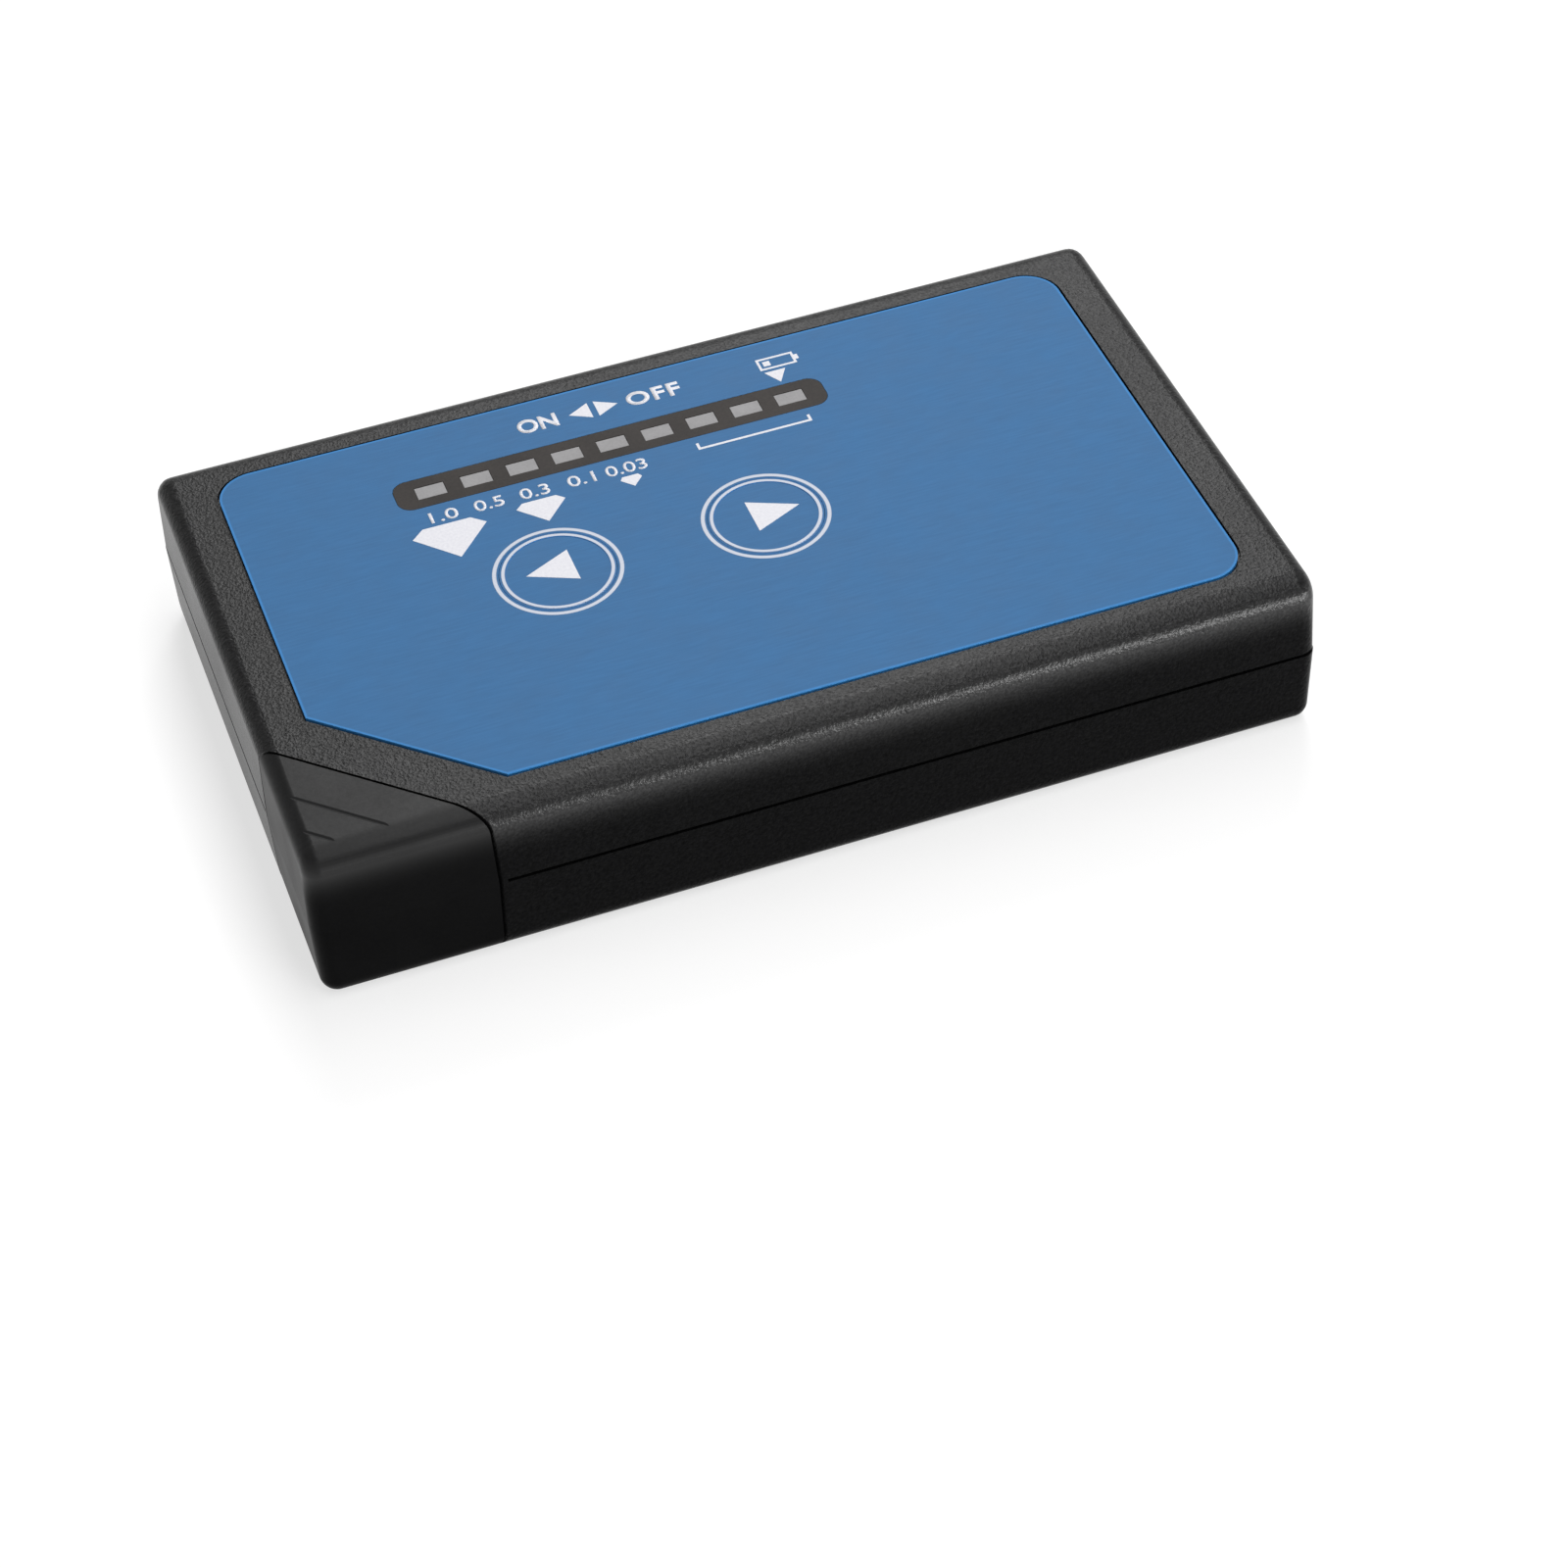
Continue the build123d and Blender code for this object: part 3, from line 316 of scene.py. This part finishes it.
def cap_plastic():
    """Black cap plastic, smoother than the case's, with a fine satin grain."""
    surface = Surface("cap_plastic", 0.33)
    fine = surface.noise(0.35 * mm, roughness=0.6)
    broad = surface.noise(9 * mm)
    surface.colour(surface.shaded(broad, case_black, 0.2))
    surface.roughness(surface.uneven(broad, 0.3, 0.36))
    plain = surface.times(surface.uneven(fine, 0.08, 0.105), surface.topside())
    surface.gloss(surface.maths("ADD", plain, surface.front_edge(most=0.3, least=0.05)))
    surface.bump(fine, 0.006 * mm)
    return surface.material


def film_border(surface):
    """How far a point on the film lies outside the film's outline, less than 0 within it."""
    half = (film_high - film_low) / 2
    middle = (film_high + film_low) / 2
    core = Vector((half.x - film_corner_radius, half.y - film_corner_radius, 1.0))
    offset = surface.vector_maths("SUBTRACT", surface.place, middle)
    beyond = surface.vector_maths("SUBTRACT", surface.vector_maths("ABSOLUTE", offset), core)
    reach = surface.vector_maths("MAXIMUM", beyond, (0.0, 0.0, 0.0))
    round_part = surface.vector_maths("LENGTH", reach, output="Value")
    nearest = surface.maths("MAXIMUM", *[surface.part_of(beyond, name) for name in "XY"])
    straight_part = surface.maths("MINIMUM", nearest, 0.0)
    from_core = surface.maths("ADD", round_part, straight_part)
    past_sides = surface.maths("SUBTRACT", from_core, film_corner_radius)
    cut_reach = max(vertex.co.dot(cap_way) for vertex in nodes["face_panel"].data.vertices)
    towards_cap = surface.vector_maths("DOT_PRODUCT", surface.place, cap_way, output="Value")
    past_cut = surface.maths("SUBTRACT", towards_cap, cut_reach)
    return surface.maths("MAXIMUM", past_sides, past_cut)


def film_blue(name, ring_radii, raised=0.0, border_highlight=False):
    """Printed blue film: brushed, satin, with white rings, and a paler blue painted on its edges and cut
    border as a painted highlight.
    """
    surface = Surface(name, 0.45, 0.05)
    streaks = surface.noise(0.25 * mm, stretch=(14, 1, 1))
    mottle = surface.noise(5 * mm, detail=4.0, roughness=0.6)
    tone = surface.average(streaks, mottle, 0.5)
    blue = surface.shaded(tone, film_colour, 0.075, margin=0.35)
    # Painted highlight: the film's steep sides, and on the panel a thin border inside its outline, are
    # painted a paler blue where light would catch the edge
    edge = surface.between(surface.facing("Z"), 0.3, 0.8, 1.0, 0.0)
    if border_highlight:
        outside = film_border(surface)
        rim_highlight = surface.between(outside, border_highlight_start, border_highlight_full, 0.0, border_highlight_strength)
        edge = surface.maths("MAXIMUM", edge, rim_highlight)
    blue = surface.blend(edge, blue, film_edge_highlight)
    rings = surface.maths("MAXIMUM", *[surface.ring(key, ring_radii) for key in (on_key, off_key)])
    surface.colour(surface.blend(rings, blue, ring_colour))
    surface.roughness(surface.uneven(mottle, 0.42, 0.5))
    surface.bump(streaks, 0.002 * mm)
    if raised:
        surface.bump(rings, raised)
    return surface.material


def white_ink():
    """White screen-printed ink, a little uneven."""
    surface = Surface("white_ink", 0.5, 0.06)
    fine = surface.noise(0.3 * mm)
    surface.colour(surface.blend(surface.uneven(fine), *ink_colours))
    surface.bump(fine, 0.003 * mm)
    return surface.material


def smoked_window():
    """Dark brown window strip, satin like the film that covers it."""
    surface = Surface("smoked_window", 0.42, 0.06)
    fine = surface.noise(0.35 * mm)
    broad = surface.noise(6 * mm, detail=2.0)
    tone = surface.average(fine, broad, 0.5)
    surface.colour(surface.shaded(tone, window_colour, 0.25, margin=0.35))
    surface.bump(fine, 0.003 * mm)
    return surface.material


def light_lens():
    """Unlit grey indicator behind the film."""
    surface = Surface("light_lens", 0.45, 0.06)
    grain = surface.noise(0.3 * mm)
    broad = surface.noise(2.0 * mm, detail=2.0)
    surface.colour(surface.shaded(surface.average(grain, broad, 0.6), lens_colour, 0.1))
    surface.bump(grain, 0.004 * mm)
    return surface.material


def metal(name, colour, roughness, stretch=(1, 1, 1)):
    """Metal with fine tool or draw marks."""
    surface = Surface(name, roughness, metallic=1.0)
    marks = surface.noise(0.15 * mm, stretch=stretch)
    broad = surface.noise(3 * mm)
    surface.colour(surface.shaded(broad, colour, 0.12))
    surface.roughness(surface.uneven(marks, roughness - 0.08, roughness + 0.08))
    surface.bump(marks, 0.004 * mm)
    return surface.material


def board_green():
    """Green solder mask over woven glass."""
    surface = Surface("board_green", 0.35)
    weave_size = 1.2 * mm
    weave = surface.add("ShaderNodeTexBrick")
    weave.inputs["Scale"].default_value = 1 / weave_size
    surface.feed(weave.inputs["Vector"], surface.place)
    surface.colour(surface.shaded(surface.noise(weave_size), board_colour, 0.3))
    surface.bump(weave.outputs["Fac"], 0.004 * mm)
    return surface.material


def chip_epoxy():
    """Black moulded epoxy, with tinned pins on both sides."""
    surface = Surface("chip_epoxy", 0.55, 0.4)
    fine = surface.noise(0.2 * mm, roughness=0.6)
    beside = surface.off_middle("Y", middle_of("driver_chip").y)
    pins = surface.between(beside, chip_half_width, chip_half_width + tin_softness)
    surface.tinned(pins, surface.shaded(fine, chip_colour, 0.2))
    surface.roughness(surface.between(pins, 0.0, 1.0, 0.55, 0.3))
    surface.bump(fine, 0.01 * mm)
    return surface.material


def resistor_lacquer():
    """Tan lacquer with four colour bands, on tinned wires."""
    surface = Surface("resistor_lacquer", 0.35)
    fine = surface.noise(0.8 * mm, roughness=0.6)
    colour = surface.shaded(fine, lacquer_colour, 0.2)
    middle = middle_of("resistors").x
    band_half_width, band_limit = 0.24 * mm, 0.28 * mm
    bands = [
        (-2.3 * mm, (0.12, 0.04, 0.015, 1.0)),
        (-1.3 * mm, (0.01, 0.01, 0.01, 1.0)),
        (-0.3 * mm, (0.55, 0.10, 0.01, 1.0)),
        (2.2 * mm, (0.45, 0.28, 0.06, 1.0)),
    ]
    for offset, paint in bands:
        beside = surface.off_middle("X", middle + offset)
        band = surface.between(beside, band_half_width, band_limit, 1.0, 0.0)
        colour = surface.blend(band, colour, paint)
    along = surface.off_middle("X", middle)
    wires = surface.between(along, resistor_half_length, resistor_half_length + tin_softness)
    surface.tinned(wires, colour)
    surface.bump(fine, 0.01 * mm)
    return surface.material


# A moulded plastic is given its colour, roughness, gloss, grain size and grain depth, and a metal
# its colour, roughness and, where its marks run one way, how far they are drawn out along each axis
materials = {
    "case": case_plastic(),
    "cap": cap_plastic(),
    "panel": film_blue("panel_film", outer_ring_radii, raised=ring_relief, border_highlight=True),
    "keys": film_blue("key_film", key_rim_radii),
    "ink": white_ink(),
    "window": smoked_window(),
    "lens": light_lens(),
    "board": board_green(),
    "black": moulded("black_plastic", (0.03, 0.03, 0.03), 0.45, 0.4, 0.5 * mm, 0.005 * mm),
    "grey": moulded("grey_plastic", (0.35, 0.35, 0.34), 0.45, 0.4, 0.5 * mm, 0.005 * mm),
    "chip": chip_epoxy(),
    "resistor": resistor_lacquer(),
    "trimmer": moulded("trimmer_blue", (0.03, 0.09, 0.34), 0.4, 0.5, 0.5 * mm, 0.004 * mm),
    "nose": moulded("nose_plastic", (0.035, 0.035, 0.037), 0.38, 0.45, 0.3 * mm, 0.006 * mm),
    "ceramic": moulded("white_ceramic", (0.72, 0.71, 0.66), 0.4, 0.5, 0.4 * mm, 0.004 * mm, spread=0.05),
    "wrap": moulded("battery_wrap", (0.08, 0.08, 0.09), 0.35, 0.5, 2.0 * mm, 0.01 * mm),
    "red": moulded("red_sleeve", (0.42, 0.02, 0.015), 0.45, 0.4, 0.6 * mm, 0.01 * mm),
    "steel": metal("zinc_steel", (0.55, 0.55, 0.56), 0.35),
    "aluminium": metal("can_aluminium", (0.7, 0.7, 0.72), 0.3, (1, 1, 12)),
    "brass": metal("brass", (0.72, 0.53, 0.25), 0.28),
    "copper": metal("copper", (0.78, 0.42, 0.28), 0.25),
    "nickel": metal("nickel", (0.68, 0.66, 0.62), 0.22),
}
finishes = {
    "case": ["top_shell", "bottom_shell", "battery_door"],
    "cap": ["corner_cap"],
    "panel": ["face_panel"],
    "keys": ["on_key", "off_key"],
    "window": ["led_window"],
    "lens": [name for name in nodes if name.startswith("led_") and name != "led_window"],
    "board": ["circuit_board"],
    "black": ["on_switch", "off_switch", "buzzer", "battery_snap", "black_lead", "probe_lead"],
    "grey": ["on_plunger", "off_plunger"],
    "chip": ["driver_chip", "amplifier_chip"],
    "resistor": ["resistors"],
    "trimmer": ["trim_pot"],
    "nose": ["probe_nose"],
    "ceramic": ["probe_insulator"],
    "wrap": ["battery"],
    "red": ["red_lead"],
    "steel": ["case_screws", "probe_spring"],
    "aluminium": ["capacitors"],
    "brass": ["probe_barrel"],
    "copper": ["probe_tip"],
    "nickel": ["battery_terminals"],
}
for finish, names in finishes.items():
    for name in names:
        nodes[name].material_slots[0].material = materials[finish]


# The probe's spring, which shortens as the tip presses on it and stays put at its back end, gets a mesh
# of its own; nothing here makes it move
spring = nodes["probe_spring"]
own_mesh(spring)


# Printing on the film

ink_thickness = 0.02 * mm

# Each row's foot and height, and how much bolder than the plain font it is
word_low, word_height, word_weight = 22.2 * mm, 2.3 * mm, 0.03
number_low, number_height, number_weight = 11.75 * mm, 1.75 * mm, 0.008
stone_top = 11.2 * mm

# Ways in which a pointer points
leftward, rightward, downward = (-1, 0), (1, 0), (0, -1)


def add_object(name, data):
    """Makes an object and puts it in the scene."""
    added = bpy.data.objects.new(name, data)
    bpy.context.scene.collection.objects.link(added)
    return added


def mesh_of(name, shape):
    """Turns a shape into a mesh. The shape is used up."""
    mesh = bpy.data.meshes.new(name)
    shape.to_mesh(mesh)
    shape.free()
    return mesh


def lift(parts, height):
    """Moves the points among some parts of a shape up, or down where the height is below 0."""
    for part in parts:
        if isinstance(part, bmesh.types.BMVert):
            part.co.z += height


def finish_ink(name, shape, body):
    """Makes a piece of ink from a shape. It moves with a body."""
    bmesh.ops.recalc_face_normals(shape, faces=shape.faces)
    piece = add_object(name, mesh_of(name, shape))
    piece.data.materials.append(materials["ink"])
    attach(piece, body)


def ink_piece(name, outlines, body="case"):
    """A piece of ink made of flat outlines, each a list of points seen from above."""
    shape = bmesh.new()
    for outline in outlines:
        shape.faces.new([shape.verts.new((x, y, film_top)) for x, y in outline])
    shape.normal_update()
    flat = list(shape.faces)
    lift(bmesh.ops.extrude_face_region(shape, geom=flat)["geom"], ink_thickness)
    bmesh.ops.delete(shape, geom=flat, context="FACES_ONLY")
    finish_ink(name, shape, body)


def pointer(name, tip, length, half_width, way, body="case"):
    """A triangle of ink that points the given way, with its tip at a point."""
    across = Vector((-way[1], way[0])) * half_width
    back = Vector(tip) - Vector(way) * length
    ink_piece(name, [[tip, back + across, back - across]], body)


def box_outline(left, right, low, high):
    """A rectangle's corners."""
    return [(left, low), (right, low), (right, high), (left, high)]


def side_bars(left, right, low, high, line):
    """Two upright bars, just inside the left and the right."""
    return [
        box_outline(left, left + line, low, high),
        box_outline(right - line, right, low, high),
    ]


def gem_outline(centre_x, top, width, table_width, crown, depth):
    """A cut stone seen from the side: a flat table, a girdle and a point."""
    half, table = width / 2, table_width / 2
    girdle = top - crown
    return [
        (centre_x - table, top),
        (centre_x - half, girdle),
        (centre_x, top - depth),
        (centre_x + half, girdle),
        (centre_x + table, top),
    ]


def lettering(name, words, left, right, low, height, weight, spacing=1.0):
    """A number, or ON or OFF, fitted between two sides and two heights."""
    curve = bpy.data.curves.new(name, "FONT")
    curve.body = words
    curve.offset = weight
    curve.space_character = spacing
    curve.resolution_u = 6
    draft = add_object(name + "_draft", curve)
    bpy.context.view_layer.update()
    mesh = bpy.data.meshes.new_from_object(draft)
    bpy.data.objects.remove(draft)
    xs = [vertex.co.x for vertex in mesh.vertices]
    ys = [vertex.co.y for vertex in mesh.vertices]
    wide = (right - left) / (max(xs) - min(xs))
    tall = height / (max(ys) - min(ys))
    fitted = Matrix.Diagonal((wide, tall, 1.0, 1.0)) @ Matrix.Translation((-min(xs), -min(ys), 0))
    mesh.transform(Matrix.Translation((left, low, film_top + ink_thickness)) @ fitted)
    shape = bmesh.new()
    shape.from_mesh(mesh)
    bpy.data.meshes.remove(mesh)
    bmesh.ops.remove_doubles(shape, verts=shape.verts, dist=0.0001 * mm)
    edges = [edge for edge in shape.edges if edge.is_boundary]
    lift(bmesh.ops.extrude_edge_only(shape, edges=edges)["geom"], -ink_thickness)
    finish_ink(name, shape, "case")


# The row above the window
word_sizes = (word_low, word_height, word_weight)
lettering("print_on", "ON", -14.9 * mm, -10.45 * mm, *word_sizes)
lettering("print_off", "OFF", -2.65 * mm, 3.4 * mm, *word_sizes, spacing=1.12)
arrow_y = word_low + word_height / 2
arrow_half_width = 1.3 * mm
pointer("print_arrow_left", (-9.1 * mm, arrow_y), 2.35 * mm, arrow_half_width, leftward)
pointer("print_arrow_right", (-3.65 * mm, arrow_y), 2.4 * mm, arrow_half_width, rightward)

# A battery sign with a pointer to the last light
pointer("print_pointer_down", (last_light.x, 19.95 * mm), 2.1 * mm, 1.2 * mm, downward)
sign_left, sign_right, sign_low, sign_high = 12.4 * mm, 16.6 * mm, 22.5 * mm, 24.5 * mm
sign_line = 0.28 * mm
sign_inset = 0.6 * mm
sign_stud = 0.4 * mm
sign_charge = 0.8 * mm
charge_left = sign_left + sign_inset
inner_low, inner_high = sign_low + sign_line, sign_high - sign_line
inset_low, inset_high = sign_low + sign_inset, sign_high - sign_inset
ink_piece(
    "print_battery_sign",
    [
        box_outline(sign_left, sign_right, inner_high, sign_high),
        box_outline(sign_left, sign_right, sign_low, inner_low),
        *side_bars(sign_left, sign_right, inner_low, inner_high, sign_line),
        box_outline(sign_right, sign_right + sign_stud, inset_low, inset_high),
        box_outline(charge_left, charge_left + sign_charge, inset_low, inset_high),
    ],
)

# Numbers under the window, with their left and right in millimetres
numbers = [
    ("print_number_1", "1.0", -27.7, -24.65),
    ("print_number_2", "0.5", -22.85, -19.65),
    ("print_number_3", "0.3", -17.85, -14.65),
    ("print_number_4", "0.1", -12.6, -9.6),
    ("print_number_5", "0.03", -8.4, -3.9),
]
number_sizes = (number_low, number_height, number_weight)
for name, words, left, right in numbers:
    lettering(name, words, left * mm, right * mm, *number_sizes)

# Stones under the numbers: middle, width, the table's width, the crown's height and whole depth in mm
stones = [
    ("print_stone_large", -26.3, 8.0, 5.2, 1.3, 5.7),
    ("print_stone_medium", -16.22, 5.35, 3.7, 0.8, 3.75),
    ("print_stone_small", -6.17, 2.35, 1.75, 0.5, 1.8),
]
for name, middle, *sizes in stones:
    ink_piece(name, [gem_outline(middle * mm, stone_top, *[size * mm for size in sizes])])

# A plain bracket under the last lights
bracket_left, bracket_right, bracket_low, bracket_high = 1.9 * mm, 14.7 * mm, 12.4 * mm, 13.5 * mm
bracket_line = 0.3 * mm
bar_low = bracket_low + bracket_line
ink_piece(
    "print_bracket",
    [
        box_outline(bracket_left, bracket_right, bracket_low, bar_low),
        *side_bars(bracket_left, bracket_right, bar_low, bracket_high, bracket_line),
    ],
)

# Pointers on the keys, a little further up than the keys' middles
key_half_width = 2.45 * mm
on_tip = on_key + Vector((-3.3, 0.4)) * mm
off_tip = off_key + Vector((3.8, 0.4)) * mm
pointer("print_on_key", on_tip, 5.1 * mm, key_half_width, leftward, "on_button")
pointer("print_off_key", off_tip, 5.2 * mm, key_half_width, rightward, "off_button")


# Floor, light and camera

floor_reach = 3.0
floor_depth = 0.02 * mm
floor_grey = (0.4, 0.4, 0.4, 1.0)

# How strongly the floor shines where it is seen, and the world where it only gives light
floor_shine = 0.68
plain_light = 0.15


def make_floor():
    """A plain white floor just under the tester, which keeps its shadow."""
    shape = bmesh.new()
    bmesh.ops.create_grid(shape, x_segments=1, y_segments=1, size=floor_reach)
    floor = add_object("floor", mesh_of("floor", shape))
    floor.location.z = -floor_depth
    surface = Surface("floor_paint", 0.8, 0.0)
    surface.colour(floor_grey)
    surface.shader.inputs["Emission Color"].default_value = white
    shine = surface.times(seen_directly(surface.tree), floor_shine)
    surface.feed(surface.shader.inputs["Emission Strength"], shine)
    floor.data.materials.append(surface.material)


def make_world():
    """Soft white light from all round, and a white background where it is seen directly."""
    world = bpy.data.worlds.new("surroundings")
    world.use_nodes = True
    tree = world.node_tree
    background = tree.nodes["Background"]
    background.inputs["Color"].default_value = white
    strength = tree.nodes.new("ShaderNodeMapRange")
    strength.inputs["To Min"].default_value = plain_light
    strength.inputs["To Max"].default_value = 1.0
    tree.links.new(seen_directly(tree), strength.inputs["Value"])
    tree.links.new(strength.outputs["Result"], background.inputs["Strength"])
    bpy.context.scene.world = world


def make_lamp(name, place, target, width, length, power):
    """A soft box at a place, which faces a target."""
    data = bpy.data.lights.new(name, "AREA")
    data.shape = "RECTANGLE"
    data.size = width
    data.size_y = length
    data.energy = power
    lamp = add_object(name, data)
    lamp.location = place
    lamp.rotation_mode = "QUATERNION"
    lamp.rotation_quaternion = (Vector(target) - Vector(place)).to_track_quat("-Z", "Y")


def make_camera():
    """The photograph's camera: where it stands, its right hand side and its line of sight."""
    place = Vector((-86.51, -299.90, 281.95)) * mm
    right = Vector((0.94101, -0.33505, -0.04734))
    ahead = Vector((0.21038, 0.68887, -0.69368)).normalized()
    focal_length_in_pixels = 4012.7
    image_width_in_pixels = 1600
    sensor_width = 36.0
    right = (right - ahead * right.dot(ahead)).normalized()
    up = right.cross(ahead)
    data = bpy.data.cameras.new("camera")
    data.sensor_width = sensor_width
    data.lens = sensor_width * focal_length_in_pixels / image_width_in_pixels
    data.clip_start = 0.01
    camera = add_object("camera", data)
    axes = Matrix((right, up, -ahead)).transposed()
    camera.matrix_world = Matrix.Translation(place) @ axes.to_4x4()
    bpy.context.scene.camera = camera


make_floor()
make_world()
make_lamp("rear_box", (0.36, 1.05, 0.97), (0.0, 0.0, 0.0), width=0.6, length=0.6, power=8.2)
make_lamp("overhead_box", (0.2, -0.05, 0.9), (0.2, -0.05, 0.0), width=0.36, length=1.7, power=8.5)
make_lamp("front_strip", (0.7, -0.95, 0.08), (0.02, 0.0, 0.0), width=1.0, length=0.16, power=8.7)
make_camera()
bpy.context.scene.view_settings.view_transform = "Standard"
